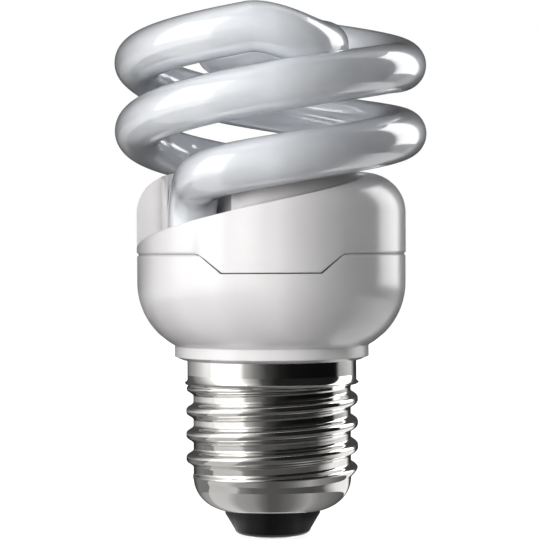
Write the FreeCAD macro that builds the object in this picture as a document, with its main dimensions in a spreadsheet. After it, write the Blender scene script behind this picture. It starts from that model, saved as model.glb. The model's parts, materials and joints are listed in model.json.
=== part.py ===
import FreeCAD, Part
import math
import os

import Sketcher
from FreeCAD import Placement, Rotation, Vector

# Compact fluorescent lamp with a spiral discharge tube, a two-part plastic housing and an E27 screw cap.
# Millimetres and degrees. The origin is the middle of the centre contact's underside, +Z runs up the
# lamp's axis, -Y is the front. A bearing is measured anticlockwise from +X, seen from above.

SIZES = {
    # Discharge tube
    "tube_diameter": 7.3,
    "coil_radius": 20.25,
    "coil_lead": 21.1,
    "coil_gap": 2.65,  # from the cover's top to the front arm's underside at bearing 360
    "coil_start_bearing": 258.0,  # where the front arm leaves the bend above its leg
    "coil_step": 18.0,
    "bridge_bearing": 622.6,  # where the front arm leaves the coil for the bridge
    "bridge_bulge": 9.35,  # how far each half of the bridge swings out sideways
    "bridge_dip": 2.52,  # the bridge's middle lies this much lower than its ends
    "bridge_dip_share": 0.4,  # the part of each half over which it sinks
    "lean_angle": 4.12,  # the top turn leans back
    "lean_bearing": 506.0,
    "lean_span": 34.4,
    "leg_radius": 14.4,  # leg's distance from the lamp's axis
    "leg_bearing": 214.8,
    "leg_rise": 1.5,  # the straight leg ends this far above the pocket's floor
    # Upper cover
    "cover_proud": 0.05,  # the cover stands this far out over the lower housing
    "cover_height": 12.3,
    "shoulder_round": 6.0,
    "seam_chamfer": 0.3,
    "ramp_radius": 16.8,  # wall of the raised middle, inside the ramps
    "ramp_lift": 0.7,  # start of the ramps above the seam
    "ramp_bearing": 182.0,
    "ramp_rise": 27.65,  # per full turn
    "cover_wall": 1.6,
    "cavity_floor_wall": 1.4,
    "leg_clearance": 0.5,
    "trough_clearance": 0.6,
    "trough_bearing": 240.0,
    "trough_span": 50.0,
    "pocket_bearing": 236.0,
    "pocket_radius": 15.1,
    "pocket_lift": 2.7,  # floor of the pockets above the seam
    "pocket_wall": 1.2,
    "skirt_wall": 1.4,
    "skirt_clearance": 0.3,
    "tab_top_half_width": 10.45,
    "tab_low_half_width": 7.1,
    "tab_lift": 0.2,  # lower edge of the tabs above the skirt's
    "tab_gap": 0.15,
    # Lower housing
    "housing_radius": 20.6,
    "housing_wall": 1.45,
    "wall_height": 4.3,  # straight wall, from the bowl up to the seam
    "bowl_round": 11.0,
    "bowl_angle": 59.73,  # how far the bowl turns in
    "collar_radius": 14.9,
    "collar_step": 0.15,
    "collar_height": 1.65,
    "lip_radius": 13.8,
    "lip_height": 0.5,
    "neck_wall": 1.25,
    "neck_length": 2.6,
    "neck_gap": 0.3,
    "funnel_height": 1.7,
    "funnel_drop": 0.3,
    "ledge_width": 1.75,
    # Screw cap
    "cap_top": 27.2,
    "band_inset": 0.2,  # the band's outside lies this far inside the thread's crests
    "band_lap": 0.2,  # depth of the barrel's upper edge in the band
    "band_bottom": 23.5,
    "band_edge_round": 0.3,
    "cap_wall": 0.35,
    "thread_pitch": 3.629,
    "thread_crest_radius": 13.2,
    "thread_depth": 1.1,
    "thread_crest_height": 17.45,  # a crest at bearing 0
    "thread_end": 8.6,
    "thread_end_fade": 2.2,
    "thread_top": 22.2,
    "thread_top_fade": 1.8,
    "barrel_top": 24.2,
    "cap_shoulder_height": 9.0,
    "cap_shoulder_drop": 4.9,
    "cap_shoulder_centre": 6.6,  # distance of the shoulder curve's centre from the axis
    "mouth_angle": 78.5,
    # Insulator and contact
    "insulator_foot": 0.45,
    "insulator_foot_radius": 5.0,
    "insulator_edge_radius": 5.85,
    "insulator_edge_height": 1.1,
    "insulator_waist_radius": 7.3,
    "insulator_waist_height": 3.55,
    "insulator_seat_height": 4.9,
    "insulator_flange_radius": 9.2,
    "insulator_flange_height": 5.5,
    "insulator_top": 6.6,
    "contact_face_radius": 2.9,
    "contact_radius": 4.0,
    "contact_edge": 0.55,
    "contact_thickness": 0.95,
    "contact_clearance": 0.3,
    "lead_hole_radius": 1.0,
    # Circuit board
    "board_clearance": 0.55,
    "board_thickness": 1.2,
    "board_notch_radius": 1.2,
    "board_gap": 0.2,
    # Electrolytic capacitor
    "can_radius": 5.0,
    "can_length": 16.0,
    "can_bead_depth": 0.35,
    "can_bead_offset": 2.2,
    "can_round": 0.6,
    # Choke
    "choke_distance": 10.0,
    "choke_width": 11.0,
    "choke_height": 7.4,
    "choke_thickness": 4.0,
    "choke_back": 1.6,
    "choke_limb": 1.6,
    "choke_centre_limb": 3.2,
    "bobbin_clearance": 0.2,
    "bobbin_wall": 0.5,
    "bobbin_flange": 0.6,
    "bobbin_reach": 4.2,
    "winding_gap": 0.15,
    "winding_depth": 1.1,
    # Ring transformer
    "ring_distance": 11.7,
    "ring_bearing": 32.0,
    "ring_outer_radius": 4.2,
    "ring_inner_radius": 2.4,
    "ring_height": 3.0,
    "ring_drop": 0.8,
    "ring_wire_radius": 0.22,
    "ring_wire_gap": 0.06,
    "ring_wire_bend": 0.29,
    # Transistors
    "transistor_radius": 2.35,
    "transistor_flat": 1.3,
    "transistor_height": 4.8,
    "transistor_lead_length": 1.8,
    "transistor_lead_width": 0.45,
    "transistor_lead_spacing": 1.27,
    # Film capacitors
    "film_length": 8.0,
    "film_thickness": 3.4,
    "film_height": 6.4,
    "film_round": 1.1,
    "film_lead_length": 0.5,
    "film_lead_spacing": 5.0,
    # Input inductor
    "drum_radius": 2.4,
    "drum_waist_radius": 1.3,
    "drum_height": 5.5,
    "drum_flange": 0.8,
    "drum_winding_gap": 0.1,
    # Axial parts
    "axial_lead_radius": 0.3,
    "axial_lead_bend": 0.6,
    "axial_stand_off": 0.4,
    "diode_radius": 1.3,
    "diode_length": 4.8,
    "diode_span": 6.6,
    "resistor_radius": 1.1,
    "resistor_length": 6.0,
    "resistor_span": 7.8,
    "diac_radius": 0.9,
    "diac_length": 3.6,
    "diac_span": 5.6,
    "fuse_radius": 1.6,
    "fuse_length": 8.5,
    "fuse_drop": 1.7,  # below the cap's top
    "fuse_distance": 7.8,
    # Wires, pins and cement
    "wire_radius": 0.4,
    "wire_bend": 3.0,
    "shell_wire_x": 1.0,
    "shell_wire_y": -7.2,
    "shell_wire_drop": 3.2,  # the wire's corner below the cap's top
    "shell_wire_fall": 2.5,
    "shell_wire_gap": 0.5,
    "contact_wire_low": 11.0,
    "contact_wire_rise": 4.5,
    "filament_wire_radius": 0.25,
    "filament_wire_bend": 0.5,
    "filament_wire_lift": 0.7,
    "filament_wire_drop": 0.7,
    "filament_wire_spacing": 3.2,
    "pin_distance": 5.2,  # from the leg's middle towards the lamp's axis
    "pin_side": 0.7,
    "pin_height": 1.6,
    "pin_wire_gap": 0.15,
    "cement_lift": 0.6,
    "cement_thickness": 2.0,
    "cement_gap": 0.1,
    # Places on the board
    "transistor_1_x": -5.8,
    "transistor_1_y": -10.4,
    "transistor_1_turn": 0.0,
    "transistor_2_x": -11.0,
    "transistor_2_y": -8.8,
    "transistor_2_turn": -40.0,
    "blocking_capacitor_distance": 11.2,
    "blocking_capacitor_bearing": -24.3,
    "resonant_capacitor_distance": 10.7,
    "resonant_capacitor_bearing": -83.6,
    "input_inductor_x": 8.2,
    "input_inductor_y": -11.7,
    "diode_1_x": -8.8,
    "diode_1_y": 7.4,
    "diode_2_x": -7.2,
    "diode_2_y": 10.6,
    "diode_3_x": -5.4,
    "diode_3_y": 13.7,
    "diode_4_x": 0.6,
    "diode_4_y": 7.2,
    "resistor_1_x": 1.8,
    "resistor_1_y": 10.4,
    "resistor_2_x": 3.4,
    "resistor_2_y": 13.4,
    "resistor_3_x": -1.0,
    "resistor_3_y": -6.5,
    "resistor_4_x": 1.0,
    "resistor_4_y": 6.5,
    "diac_1_x": 0.0,
    "diac_1_y": 0.0,
}

TWO_ARMS = 2
BORDER = 6.0  # how far a cutting shape reaches past what it cuts

doc = FreeCAD.newDocument("spiral_lamp")
sheet = doc.addObject("Spreadsheet::Sheet", "sizes")
for row, (name, number) in enumerate(SIZES.items(), start=1):
    sheet.set(f"A{row}", name)
    sheet.set(f"B{row}", str(number))
    sheet.setAlias(f"B{row}", name)
doc.recompute()


# A length or an angle, as a number and as the spreadsheet expression that gives it
class Size:
    def __init__(self, number, text):
        self.number = number
        self.text = text

    def __add__(self, other):
        other = as_size(other)
        return Size(self.number + other.number, f"({self.text} + {other.text})")

    def __sub__(self, other):
        other = as_size(other)
        return Size(self.number - other.number, f"({self.text} - {other.text})")

    def __mul__(self, other):
        other = as_size(other)
        return Size(self.number * other.number, f"({self.text} * {other.text})")

    def __truediv__(self, other):
        other = as_size(other)
        return Size(self.number / other.number, f"({self.text} / {other.text})")

    def __neg__(self):
        return Size(-self.number, f"(0 - {self.text})")


def as_size(value):
    return value if isinstance(value, Size) else Size(float(value), str(float(value)))


def size(name):
    return Size(SIZES[name], f"sizes.{name}")


def square_root(value):
    return Size(math.sqrt(value.number), f"sqrt({value.text})")


def sine(angle):
    return Size(math.sin(math.radians(angle.number)), f"sin({angle.text} * 1deg)")


def cosine(angle):
    return Size(math.cos(math.radians(angle.number)), f"cos({angle.text} * 1deg)")


def bind(item, prop, value):
    item.setExpression(prop, as_size(value).text)


def at(radius, bearing, height=0.0):
    turn = math.radians(bearing)
    return Vector(radius * math.cos(turn), radius * math.sin(turn), height)


# A spot at a distance from the axis, and an offset to its left as seen from the axis
def spot_at(distance, bearing, offset=0.0):
    ahead, across = cosine(bearing), sine(bearing)
    return distance * ahead - across * offset, distance * across + ahead * offset


# Document objects: sketches, bodies and primitives


def origin_feature(body, role):
    return [feature for feature in body.Origin.OriginFeatures if feature.Role == role][0]


def new_body(label):
    body = doc.addObject("PartDesign::Body", label)
    body.Label = label
    return body


def new_sketch(body, name, plane, offset=None, bearing=None):
    sketch = body.newObject("Sketcher::SketchObject", name)
    sketch.AttachmentSupport = [(origin_feature(body, plane), "")]
    sketch.MapMode = "FlatFace"
    if bearing is not None:
        sketch.AttachmentOffset = Placement(Vector(), Rotation(Vector(0, 1, 0), bearing.number))
        bind(sketch, "AttachmentOffset.Rotation.Angle", bearing)
    if offset is not None:
        bind(sketch, "AttachmentOffset.Base.z", offset)
    return sketch


def flat(point):
    return Vector(as_size(point[0]).number, as_size(point[1]).number, 0)


def hold_point(sketch, edge, end, point):
    for kind, value in zip(("DistanceX", "DistanceY"), point):
        value = as_size(value)
        index = sketch.addConstraint(Sketcher.Constraint(kind, -1, 1, edge, end, value.number))
        sketch.setExpression(f"Constraints[{index}]", value.text)


def bend(x, y):
    return ("bend", x, y)


# A closed outline: corners as (x, y), and bend(x, y) between two corners makes the edge there an arc
def draw_outline(sketch, stops):
    corners = [stop for stop in stops if stop[0] != "bend"]
    bends = {}
    count = 0
    for stop in stops:
        if stop[0] == "bend":
            bends[count - 1] = stop[1:]
        else:
            count += 1
    edges = []
    for index, start in enumerate(corners):
        finish = corners[(index + 1) % len(corners)]
        if index not in bends:
            edge = sketch.addGeometry(Part.LineSegment(flat(start), flat(finish)))
            edges.append((edge, 1, 2))
            continue
        middle = bends[index]
        turn = (flat(middle) - flat(start)).cross(flat(finish) - flat(middle)).z
        first, last = (start, finish) if turn > 0 else (finish, start)
        edge = sketch.addGeometry(Part.Arc(flat(first), flat(middle), flat(last)))
        edges.append((edge, 1, 2) if turn > 0 else (edge, 2, 1))
        mark = sketch.addGeometry(Part.Point(flat(middle)), True)
        hold_point(sketch, mark, 1, middle)
        sketch.addConstraint(Sketcher.Constraint("PointOnObject", mark, 1, edge))
    for index, (edge, start_end, _) in enumerate(edges):
        last_edge, _, last_end = edges[index - 1]
        sketch.addConstraint(Sketcher.Constraint("Coincident", last_edge, last_end, edge, start_end))
        hold_point(sketch, edge, start_end, corners[index])


def draw_circle(sketch, x, y, radius):
    radius = as_size(radius)
    circle = Part.Circle(flat((x, y)), Vector(0, 0, 1), radius.number)
    edge = sketch.addGeometry(circle)
    hold_point(sketch, edge, 3, (x, y))
    index = sketch.addConstraint(Sketcher.Constraint("Radius", edge, radius.number))
    sketch.setExpression(f"Constraints[{index}]", radius.text)


def revolve(body, name, stops, kind="PartDesign::Revolution"):
    sketch = new_sketch(body, f"{name}_profile", "XZ_Plane")
    draw_outline(sketch, stops)
    feature = body.newObject(kind, name)
    feature.Profile = sketch
    feature.ReferenceAxis = (sketch, ["V_Axis"])
    feature.Angle = 360
    return feature


def pad(body, name, stops, bottom, height):
    sketch = new_sketch(body, f"{name}_outline", "XY_Plane", bottom)
    draw_outline(sketch, stops)
    feature = body.newObject("PartDesign::Pad", name)
    feature.Profile = sketch
    bind(feature, "Length", height)
    return feature


def helical_cut(body, name, bearing, pitch, turns):
    sketch = new_sketch(body, f"{name}_section", "XZ_Plane", bearing=bearing)
    feature = body.newObject("PartDesign::SubtractiveHelix", name)
    feature.Profile = sketch
    feature.ReferenceAxis = (origin_feature(body, "Z_Axis"), "")
    feature.Mode = "pitch-turns-angle"
    bind(feature, "Pitch", pitch)
    bind(feature, "Turns", turns)
    return sketch, feature


def rectangle(x0, y0, x1, y1):
    return [(x0, y0), (x1, y0), (x1, y1), (x0, y1)]


def cylinder(name, radius, height, spot, axis=Vector(0, 0, 1)):
    item = doc.addObject("Part::Cylinder", name)
    item.Placement = Placement(Vector(), Rotation(Vector(0, 0, 1), axis))
    bind(item, "Radius", radius)
    bind(item, "Height", height)
    for letter, value in zip("xyz", spot):
        bind(item, f"Placement.Base.{letter}", value)
    return item


def box(name, length, width, height, spot):
    item = doc.addObject("Part::Box", name)
    for prop, value in zip(("Length", "Width", "Height"), (length, width, height)):
        bind(item, prop, value)
    for letter, value in zip("xyz", spot):
        bind(item, f"Placement.Base.{letter}", value)
    return item


def join(label, items):
    whole = doc.addObject("Part::MultiFuse", label)
    whole.Shapes = items
    whole.Label = label
    return whole


def group(label, items):
    whole = doc.addObject("Part::Compound", label)
    whole.Links = items
    whole.Label = label
    return whole


def cut(label, base, tool):
    whole = doc.addObject("Part::Cut", label)
    whole.Base = base
    whole.Tool = tool
    whole.Label = label
    return whole


def shape_of(label, shape):
    item = doc.addObject("Part::Feature", label)
    item.Shape = shape
    item.Label = label
    return item


# Paths of straight runs and tangent arcs


def tangent_arc(start, heading, finish):
    chord = finish - start
    along = chord.dot(heading)
    side = chord - heading * along
    if side.Length < 1e-6:
        return Part.LineSegment(start, finish).toShape()
    inward = side * (1 / side.Length)
    radius = chord.dot(chord) / (2 * side.Length)
    half = math.atan2(along, radius - side.Length) / 2
    middle = start + inward * (radius * (1 - math.cos(half))) + heading * (radius * math.sin(half))
    return Part.Arc(start, middle, finish).toShape()


# Two arcs that leave the first station along its heading and reach the second along its own
def arc_pair(first, second):
    (start, leaving), (finish, arriving) = first, second
    chord = finish - start
    blend = 2 * (1 - leaving.dot(arriving))
    lean = chord.dot(leaving + arriving)
    if blend < 1e-9:
        reach = chord.dot(chord) / (2 * lean)
    else:
        reach = (math.sqrt(lean * lean + blend * chord.dot(chord)) - lean) / blend
    corner = start + leaving * reach
    middle = (corner + finish - arriving * reach) * 0.5
    heading = middle - corner
    heading.normalize()
    return [tangent_arc(start, leaving, middle), tangent_arc(middle, heading, finish)]


def rounded_route(points, radius):
    edges = []
    last = points[0]
    for before, corner, after in zip(points, points[1:], points[2:]):
        back = before - corner
        ahead = after - corner
        back.normalize()
        ahead.normalize()
        opening = back.getAngle(ahead)
        reach = radius / math.tan(opening / 2)
        start = corner + back * reach
        finish = corner + ahead * reach
        edges.append(Part.LineSegment(last, start).toShape())
        edges.append(tangent_arc(start, back * -1, finish))
        last = finish
    edges.append(Part.LineSegment(last, points[-1]).toShape())
    return edges


def pipe(edges, radius):
    path = Part.Wire(edges)
    first = edges[0]
    start = first.valueAt(first.FirstParameter)
    heading = first.tangentAt(first.FirstParameter)
    section = Part.Face(Part.Wire([Part.Circle(start, heading, radius).toShape()]))
    return path.makePipe(section)


# Sizes that several pieces share

tube_radius = size("tube_diameter") / 2
collar_bottom = size("cap_top") + size("lip_height")
collar_top = collar_bottom + size("collar_height")
bowl_end = collar_top + size("collar_step")
bowl_height = bowl_end + size("bowl_round") * sine(size("bowl_angle"))
seam_height = bowl_height + size("wall_height")
ramp_start = seam_height + size("ramp_lift")
low_ceiling = ramp_start - size("cavity_floor_wall")
pocket_floor = seam_height + size("pocket_lift")
cover_top = seam_height + size("cover_height")
coil_height = cover_top + size("coil_gap") + tube_radius
board_bottom = bowl_height
board_top = board_bottom + size("board_thickness")
filament_wire_height = board_top + size("filament_wire_lift")
leg_end = filament_wire_height + size("filament_wire_drop")
leg_top = pocket_floor + size("leg_rise")
fuse_bottom = size("cap_top") - size("fuse_drop")
housing_inner = size("housing_radius") - size("housing_wall")
board_radius = housing_inner - size("board_clearance")
cover_radius = size("housing_radius") + size("cover_proud")
skirt_outer = housing_inner - size("skirt_clearance")
skirt_inner = skirt_outer - size("skirt_wall")
skirt_bottom = board_top + size("board_gap")
thread_root = size("thread_crest_radius") - size("thread_depth")
thread_swing = (size("thread_crest_radius") - thread_root) / 2
band_inner = thread_root + thread_swing - size("band_lap")
neck_outer = band_inner - size("neck_gap")
neck_inner = neck_outer - size("neck_wall")
tab_bottom = skirt_bottom + size("tab_lift")


def smooth_step(value):
    value = min(max(value, 0.0), 1.0)
    return value * value * (3 - 2 * value)


# Discharge tube: two arms wound as a double helix, joined by a bridge over the axis


def lean_of(y, share):
    return y * math.tan(math.radians(SIZES["lean_angle"])) * share


def coil_point(bearing, turned):
    climb = (bearing - 360.0) / 360.0 * SIZES["coil_lead"]
    spot = at(SIZES["coil_radius"], bearing + turned, coil_height.number + climb)
    share = smooth_step((bearing - SIZES["lean_bearing"]) / SIZES["lean_span"])
    spot.z += lean_of(spot.y, share)
    return spot


# The bridge curls from the coil to the axis in half an ellipse and sinks on its way, share 0 to 1
def bridge_point(share, turned):
    start = SIZES["bridge_bearing"]
    reach = SIZES["coil_radius"] / 2
    turn = math.pi * share
    outward = at(1.0, start + turned)
    sideways = at(1.0, start + turned + 90.0)
    spot = outward * (reach * (1 + math.cos(turn))) + sideways * (SIZES["bridge_bulge"] * math.sin(turn))
    spot.z = coil_height.number + (start - 360.0) / 360.0 * SIZES["coil_lead"]
    spot.z -= SIZES["bridge_dip"] * smooth_step(share / SIZES["bridge_dip_share"])
    spot.z += lean_of(spot.y, 1.0)
    return spot


BRIDGE_SHARES = (0.0, 0.125, 0.25, 0.375, 0.5, 0.75)


def station(curve, where, step, turned):
    heading = curve(where + step, turned) - curve(where - step, turned)
    heading.normalize()
    return (curve(where, turned), heading)


def arm_stations(turned):
    leg = at(SIZES["leg_radius"], SIZES["leg_bearing"] + turned, leg_top.number)
    stations = [(leg, Vector(0, 0, 1))]
    start, finish = SIZES["coil_start_bearing"], SIZES["bridge_bearing"]
    spans = max(2, round((finish - start) / SIZES["coil_step"]))
    for index in range(spans):
        bearing = start + (finish - start) * index / spans
        stations.append(station(coil_point, bearing, 0.05, turned))
    for share in BRIDGE_SHARES:
        stations.append(station(bridge_point, share, 0.0005, turned))
    return stations


def discharge_tube():
    front = arm_stations(0.0)
    back = arm_stations(180.0)
    centre = station(bridge_point, 1.0, 0.0005, 0.0)
    stations = front + [centre] + [(spot, heading * -1) for spot, heading in reversed(back)]
    drop = Vector(0, 0, leg_end.number - leg_top.number)
    edges = [Part.LineSegment(front[0][0] + drop, front[0][0]).toShape()]
    for first, second in zip(stations, stations[1:]):
        edges += arc_pair(first, second)
    edges.append(Part.LineSegment(back[0][0], back[0][0] + drop).toShape())
    radii = [edge.Curve.Radius for edge in edges if isinstance(edge.Curve, Part.Circle)]
    print(f"tube: {len(edges)} runs, bend radii {min(radii):.1f} to {max(radii):.1f} mm")
    return shape_of("discharge_tube", pipe(edges, tube_radius.number))


# Upper cover: a moulded cap with two helical ramps and two pockets for the tube's legs


def turned_slot(name, body, radius, bottom, height, kind):
    # Straight-sided slot from the leg's hole outwards, round at both ends
    inner = at(SIZES["leg_radius"], SIZES["leg_bearing"])
    outer = at(SIZES["pocket_radius"], SIZES["pocket_bearing"])
    sketch = new_sketch(body, f"{name}_outline", "XY_Plane", bottom)
    run = outer - inner
    side = Vector(-run.y, run.x, 0)
    side.normalize()
    along = Vector(run)
    along.normalize()
    reach = radius.number
    corners = [inner - side * reach, outer - side * reach, outer + side * reach, inner + side * reach]
    first = Part.Arc(corners[1], outer + along * reach, corners[2])
    last = Part.Arc(corners[3], inner - along * reach, corners[0])
    edges = [Part.LineSegment(corners[0], corners[1]), first, Part.LineSegment(corners[2], corners[3]), last]
    sketch.addGeometry(edges)
    for index in range(4):
        sketch.addConstraint(Sketcher.Constraint("Tangent", index, 2, (index + 1) % 4, 1))
    for arc, distance, bearing in ((1, "pocket_radius", "pocket_bearing"), (3, "leg_radius", "leg_bearing")):
        hold_point(sketch, arc, 3, spot_at(size(distance), size(bearing)))
    index = sketch.addConstraint(Sketcher.Constraint("Radius", 3, radius.number))
    sketch.setExpression(f"Constraints[{index}]", radius.text)
    feature = body.newObject(kind, name)
    feature.Profile = sketch
    bind(feature, "Length", height)
    feature.Reversed = kind == "PartDesign::Pocket"
    return feature


def upper_cover():
    body = new_body("upper_cover")
    top, seam, outer = cover_top, seam_height, cover_radius
    chamfer = size("seam_chamfer")
    ledge_round = size("shoulder_round")
    hole = tube_radius + size("leg_clearance")
    ceiling = top - size("cover_wall")
    cavity = size("ramp_radius") - size("cover_wall")

    tabs = new_sketch(body, "tabs_outline", "XZ_Plane")
    wide, narrow = size("tab_top_half_width"), size("tab_low_half_width")
    draw_outline(tabs, [(-narrow, tab_bottom), (narrow, tab_bottom), (wide, seam), (-wide, seam)])
    bar = body.newObject("PartDesign::Pad", "tabs")
    bar.Profile = tabs
    bind(bar, "Length", (outer + BORDER) * 2)
    bar.Midplane = True
    under = tab_bottom - BORDER
    revolve(body, "tabs_inside", rectangle(0, under, skirt_inner, seam), "PartDesign::Groove")
    beyond = outer + BORDER * 2
    revolve(body, "tabs_outside", rectangle(outer, under, beyond, seam), "PartDesign::Groove")

    diagonal = ledge_round * math.sqrt(0.5)
    shoulder = top - ledge_round
    revolve(body, "shell", [
        (0, ceiling), (cavity, ceiling), (cavity, low_ceiling), (skirt_inner, low_ceiling),
        (skirt_inner, skirt_bottom), (skirt_outer, skirt_bottom), (skirt_outer, seam),
        (outer - chamfer, seam), (outer, seam + chamfer), (outer, shoulder),
        bend(outer - ledge_round + diagonal, shoulder + diagonal), (outer - ledge_round, top), (0, top),
    ])

    wall_bottom = pocket_floor - size("pocket_wall")
    walls = turned_slot("pocket_walls", body, hole + size("pocket_wall"), wall_bottom,
                        ceiling - wall_bottom, "PartDesign::Pad")
    start, rise = ramp_start, size("ramp_rise")
    section, ramp = helical_cut(body, "ramp", size("ramp_bearing"), rise, (top - start) / rise)
    draw_outline(section, rectangle(size("ramp_radius"), start, outer + BORDER, top + BORDER))
    # The tube lies in a trough where it runs past the rim of the raised middle
    lead, bearing = size("coil_lead"), size("trough_bearing")
    section, trough = helical_cut(body, "trough", bearing, lead, size("trough_span") / 360)
    trough_height = coil_height + (bearing - 360) / 360 * lead
    draw_circle(section, size("coil_radius"), trough_height, tube_radius + size("trough_clearance"))
    pocket = turned_slot("pocket", body, hole, pocket_floor, top + BORDER - pocket_floor,
                         "PartDesign::Pocket")
    hole_sketch = new_sketch(body, "leg_hole_outline", "XY_Plane", skirt_bottom)
    draw_circle(hole_sketch, *spot_at(size("leg_radius"), size("leg_bearing")), hole)
    leg_hole = body.newObject("PartDesign::Pocket", "leg_hole")
    leg_hole.Profile = hole_sketch
    bind(leg_hole, "Length", pocket_floor - skirt_bottom + BORDER)
    leg_hole.Reversed = True
    pair = body.newObject("PartDesign::PolarPattern", "both_sides")
    pair.Originals = [walls, ramp, trough, pocket, leg_hole]
    pair.Axis = (origin_feature(body, "Z_Axis"), "")
    pair.Angle = 360
    pair.Occurrences = TWO_ARMS
    body.Tip = pair
    return body


def lower_housing():
    body = new_body("lower_housing")
    seam, outer, wall = seam_height, size("housing_radius"), size("housing_wall")
    chamfer = size("seam_chamfer")
    bowl, angle = size("bowl_round"), size("bowl_angle")
    middle = outer - bowl
    inner_bowl = bowl - wall
    ledge = housing_inner - size("ledge_width")
    ledge_reach = ledge - middle
    ledge_end = bowl_height - square_root(inner_bowl * inner_bowl - ledge_reach * ledge_reach)
    funnel_bottom = bowl_end - size("funnel_drop")
    funnel_top = funnel_bottom + size("funnel_height")
    funnel_drop = bowl_height - funnel_top
    funnel = middle + square_root(inner_bowl * inner_bowl - funnel_drop * funnel_drop)
    neck_bottom = size("cap_top") - size("neck_length")
    # The inner arc's middle lies on the ray halfway between its ends
    inner_turn = 0.5 * (math.asin(funnel_drop.number / inner_bowl.number)
                        + math.acos(ledge_reach.number / inner_bowl.number))
    revolve(body, "shell", [
        (housing_inner, seam), (housing_inner, board_bottom), (ledge, board_bottom), (ledge, ledge_end),
        bend(middle + inner_bowl * math.cos(inner_turn), bowl_height - inner_bowl * math.sin(inner_turn)),
        (funnel, funnel_top), (neck_inner, funnel_bottom), (neck_inner, neck_bottom),
        (neck_outer, neck_bottom), (neck_outer, size("cap_top")), (size("lip_radius"), size("cap_top")),
        (size("collar_radius"), collar_bottom), (size("collar_radius"), collar_top),
        (middle + bowl * cosine(angle), bowl_end),
        bend(middle + bowl * cosine(angle / 2), bowl_height - bowl * sine(angle / 2)), (outer, bowl_height),
        (outer, seam - chamfer), (outer - chamfer, seam),
    ])
    notches = new_sketch(body, "notch_outline", "XZ_Plane")
    gap = size("tab_gap")
    wide = size("tab_top_half_width") + gap
    narrow = size("tab_low_half_width") + gap
    draw_outline(notches, [(-narrow, tab_bottom - gap), (narrow, tab_bottom - gap), (wide, seam), (-wide, seam)])
    notch = body.newObject("PartDesign::Pocket", "notches")
    notch.Profile = notches
    notch.Midplane = True
    bind(notch, "Length", (outer + BORDER) * 2)
    return body


# Screw cap: sheet metal rolled into a thread, its wall a wave that turns round the axis


def thread_radius(turn, height):
    low = smooth_step((height - SIZES["thread_end"]) / SIZES["thread_end_fade"])
    high = 1 - smooth_step((height - SIZES["thread_top"]) / SIZES["thread_top_fade"])
    phase = 2 * math.pi * (height - SIZES["thread_crest_height"]) / SIZES["thread_pitch"] - turn
    return thread_root.number + thread_swing.number * low * (1 + high * math.cos(phase))


def cap_profile_point(turn, share, inset):
    # Share 0 to 1 runs down the threaded wall, 1 to 2 round the shoulder to the mouth
    top, low = SIZES["barrel_top"], SIZES["cap_shoulder_height"]
    if share <= 1:
        height = top - (top - low) * share
        return thread_radius(turn, height) - inset, height
    slope = math.radians(SIZES["mouth_angle"]) * (share - 1)
    middle = SIZES["cap_shoulder_centre"]
    width = thread_root.number - middle
    radius = middle + (width - inset) * math.cos(slope)
    return radius, low - (SIZES["cap_shoulder_drop"] - inset) * math.sin(slope)


CAP_SIDES = 40
CAP_WALL_ROWS = 48
CAP_SHOULDER_ROWS = 8


def cap_face(inset):
    # Control points stand a little outside the surface that they bend, by the same share all round
    swell = 3 / (2 + math.cos(2 * math.pi / CAP_SIDES))
    shares = [row / CAP_WALL_ROWS for row in range(CAP_WALL_ROWS + 1)]
    shares += [1 + row / CAP_SHOULDER_ROWS for row in range(1, CAP_SHOULDER_ROWS + 1)]
    columns = []
    for side in range(CAP_SIDES):
        turn = 2 * math.pi * side / CAP_SIDES
        column = []
        for share in shares:
            radius, height = cap_profile_point(turn, share, inset)
            column.append(at(radius * swell, math.degrees(turn), height))
        columns.append(column)
    surface = Part.BSplineSurface()
    round_knots = [float(knot) for knot in range(CAP_SIDES + 1)]
    down_knots = [float(knot) for knot in range(len(shares) - 2)]
    surface.buildFromPolesMultsKnots(
        columns, [1] * (CAP_SIDES + 1), [4] + [1] * (len(shares) - 4) + [4],
        round_knots, down_knots, True, False, 3, 3)
    return surface.toShape()


def rims(face):
    closed = [edge for edge in face.Edges if edge.isClosed()]
    return sorted(closed, key=lambda edge: edge.CenterOfMass.z)


def cap_shell():
    outside, inside = cap_face(0.0), cap_face(SIZES["cap_wall"])
    ends = [Part.makeRuledSurface(a, b) for a, b in zip(rims(outside), rims(inside))]
    barrel = shape_of("threaded_barrel", Part.makeSolid(Part.makeShell([outside, inside] + ends)))
    band = new_body("cap_band")
    edge = size("band_edge_round")
    corner = edge * (1 - math.sqrt(0.5))
    outer, low = size("thread_crest_radius") - size("band_inset"), size("band_bottom")
    revolve(band, "band", [
        (band_inner, low), (outer - edge, low), bend(outer - corner, low + corner),
        (outer, low + edge), (outer, size("cap_top")), (band_inner, size("cap_top")),
    ])
    return join("cap_shell", [band, barrel])


def cap_insulator():
    body = new_body("cap_insulator")
    hole, seat = size("lead_hole_radius"), size("contact_thickness")
    rim = size("contact_radius") + size("contact_clearance")
    foot, foot_radius = size("insulator_foot"), size("insulator_foot_radius")
    edge_radius, edge_height = size("insulator_edge_radius"), size("insulator_edge_height")
    slant = math.sqrt(0.5)
    revolve(body, "glass", [
        (hole, seat), (rim, seat), (rim, foot), (foot_radius, foot),
        bend(foot_radius + (edge_radius - foot_radius) * slant, edge_height - (edge_height - foot) * slant),
        (edge_radius, edge_height), (size("insulator_waist_radius"), size("insulator_waist_height")),
        (size("insulator_waist_radius"), size("insulator_seat_height")),
        (size("insulator_flange_radius"), size("insulator_flange_height")),
        (size("insulator_flange_radius"), size("insulator_top")), (hole, size("insulator_top")),
    ])
    return body


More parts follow.
